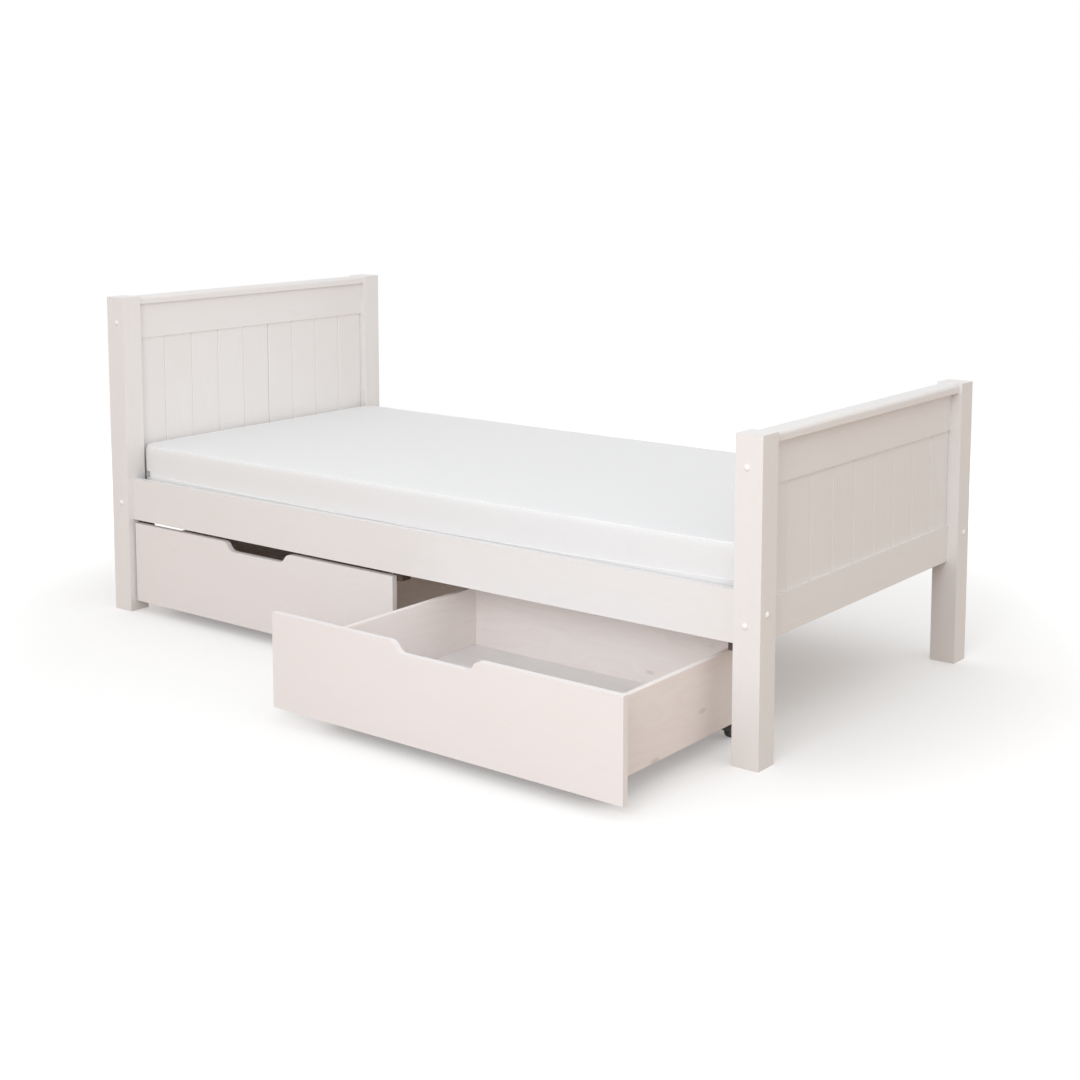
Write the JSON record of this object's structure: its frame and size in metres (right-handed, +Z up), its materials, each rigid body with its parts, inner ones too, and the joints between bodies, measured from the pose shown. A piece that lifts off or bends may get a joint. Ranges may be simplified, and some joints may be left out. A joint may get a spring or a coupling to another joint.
{
  "type": "single bed with drawers",
  "caption": "White painted wooden single bed with panelled headboard and footboard, slatted base, mattress and under-bed drawers on castors that roll out from one side.",
  "frame": {"origin": "on the floor under the middle of the four posts", "axes": "+X along the bed towards the footboard, -Y towards the side that the drawers open to, +Z up"},
  "size_m": [2.008, 1.348, 0.842],
  "materials": {
    "white_paint": "satin warm white paint over pine",
    "drawer_paint": "satin white paint, slightly pinkish",
    "whitewashed_pine": "thin white wash over knotty pine",
    "base_board": "smooth pale grey-white foil",
    "bare_pine": "planed bare pine",
    "tape": "flat woven tape",
    "zinc_steel": "zinc-plated",
    "dark_plastic": "moulded, fine matte",
    "white_plastic": "smooth moulded caps",
    "mattress_cover": "soft white knitted cover"
  },
  "bodies": {
    "frame": {"post_head_front": "white_paint", "post_head_back": "white_paint", "post_foot_front": "white_paint", "post_foot_back": "white_paint", "headboard_cap_rail": "white_paint", "headboard_top_rail": "white_paint", "headboard_boards": "white_paint", "headboard_bottom_rail": "white_paint", "footboard_cap_rail": "white_paint", "footboard_top_rail": "white_paint", "footboard_boards": "white_paint", "footboard_bottom_rail": "white_paint", "side_rail_front": "white_paint", "side_rail_back": "white_paint", "slat_ledger_front": "whitewashed_pine", "slat_ledger_back": "whitewashed_pine", "slats": "bare_pine", "slat_tapes": "tape", "drawer_stop_blocks": "dark_plastic", "frame_bolts": "zinc_steel", "barrel_nuts": "zinc_steel", "frame_dowels": "bare_pine", "bolt_caps": "white_plastic", "ledger_screws": "zinc_steel"},
    "mattress": {"mattress": "mattress_cover"},
    "left_drawer": {"left_drawer_front": "drawer_paint", "left_drawer_outer_side": "whitewashed_pine", "left_drawer_inner_side": "whitewashed_pine", "left_drawer_back": "whitewashed_pine", "left_drawer_base": "base_board", "left_drawer_battens": "whitewashed_pine", "left_drawer_dowels": "bare_pine", "left_drawer_screws": "zinc_steel", "left_castor_housings": "dark_plastic", "left_castor_axles": "zinc_steel", "left_castor_screws": "zinc_steel"},
    "left_wheel_front_inner": {"left_wheel_front_inner": "dark_plastic"},
    "left_wheel_front_outer": {"left_wheel_front_outer": "dark_plastic"},
    "left_wheel_rear_inner": {"left_wheel_rear_inner": "dark_plastic"},
    "left_wheel_rear_outer": {"left_wheel_rear_outer": "dark_plastic"},
    "right_drawer": {"right_drawer_front": "drawer_paint", "right_drawer_outer_side": "whitewashed_pine", "right_drawer_inner_side": "whitewashed_pine", "right_drawer_back": "whitewashed_pine", "right_drawer_base": "base_board", "right_drawer_battens": "whitewashed_pine", "right_drawer_dowels": "bare_pine", "right_drawer_screws": "zinc_steel", "right_castor_housings": "dark_plastic", "right_castor_axles": "zinc_steel", "right_castor_screws": "zinc_steel"},
    "right_wheel_front_inner": {"right_wheel_front_inner": "dark_plastic"},
    "right_wheel_front_outer": {"right_wheel_front_outer": "dark_plastic"},
    "right_wheel_rear_inner": {"right_wheel_rear_inner": "dark_plastic"},
    "right_wheel_rear_outer": {"right_wheel_rear_outer": "dark_plastic"}
  },
  "joints": [
    {"name": "left_drawer_slide", "type": "slide", "parent": "frame", "child": "left_drawer", "axis": [0, -1, 0], "range_m": [0, 0.54]},
    {"name": "right_drawer_slide", "type": "slide", "parent": "frame", "child": "right_drawer", "axis": [0, -1, 0], "range_m": [-0.387, 0.153]},
    {"name": "left_wheel_front_inner_spin", "type": "hinge", "parent": "left_drawer", "child": "left_wheel_front_inner", "pos_m": [-0.1485, -0.375, 0.0195], "axis": [1, 0, 0], "continuous": true},
    {"name": "left_wheel_front_outer_spin", "type": "hinge", "parent": "left_drawer", "child": "left_wheel_front_outer", "pos_m": [-0.847, -0.375, 0.0195], "axis": [1, 0, 0], "continuous": true},
    {"name": "left_wheel_rear_inner_spin", "type": "hinge", "parent": "left_drawer", "child": "left_wheel_rear_inner", "pos_m": [-0.1485, 0.047, 0.0195], "axis": [1, 0, 0], "continuous": true},
    {"name": "left_wheel_rear_outer_spin", "type": "hinge", "parent": "left_drawer", "child": "left_wheel_rear_outer", "pos_m": [-0.847, 0.047, 0.0195], "axis": [1, 0, 0], "continuous": true},
    {"name": "right_wheel_front_inner_spin", "type": "hinge", "parent": "right_drawer", "child": "right_wheel_front_inner", "pos_m": [0.1485, -0.762, 0.0195], "axis": [1, 0, 0], "continuous": true},
    {"name": "right_wheel_front_outer_spin", "type": "hinge", "parent": "right_drawer", "child": "right_wheel_front_outer", "pos_m": [0.847, -0.762, 0.0195], "axis": [1, 0, 0], "continuous": true},
    {"name": "right_wheel_rear_inner_spin", "type": "hinge", "parent": "right_drawer", "child": "right_wheel_rear_inner", "pos_m": [0.1485, -0.34, 0.0195], "axis": [1, 0, 0], "continuous": true},
    {"name": "right_wheel_rear_outer_spin", "type": "hinge", "parent": "right_drawer", "child": "right_wheel_rear_outer", "pos_m": [0.847, -0.34, 0.0195], "axis": [1, 0, 0], "continuous": true},
    {"name": "mattress_lift", "type": "slide", "parent": "frame", "child": "mattress", "axis": [0, 0, 1], "range_m": [0, 0.2]}
  ],
  "couplings": [
    {"joint": "left_wheel_front_inner_spin", "follows": "left_drawer_slide", "rad_per_m": 51.282},
    {"joint": "left_wheel_front_outer_spin", "follows": "left_drawer_slide", "rad_per_m": 51.282},
    {"joint": "left_wheel_rear_inner_spin", "follows": "left_drawer_slide", "rad_per_m": 51.282},
    {"joint": "left_wheel_rear_outer_spin", "follows": "left_drawer_slide", "rad_per_m": 51.282},
    {"joint": "right_wheel_front_inner_spin", "follows": "right_drawer_slide", "rad_per_m": 51.282},
    {"joint": "right_wheel_front_outer_spin", "follows": "right_drawer_slide", "rad_per_m": 51.282},
    {"joint": "right_wheel_rear_inner_spin", "follows": "right_drawer_slide", "rad_per_m": 51.282},
    {"joint": "right_wheel_rear_outer_spin", "follows": "right_drawer_slide", "rad_per_m": 51.282}
  ]
}
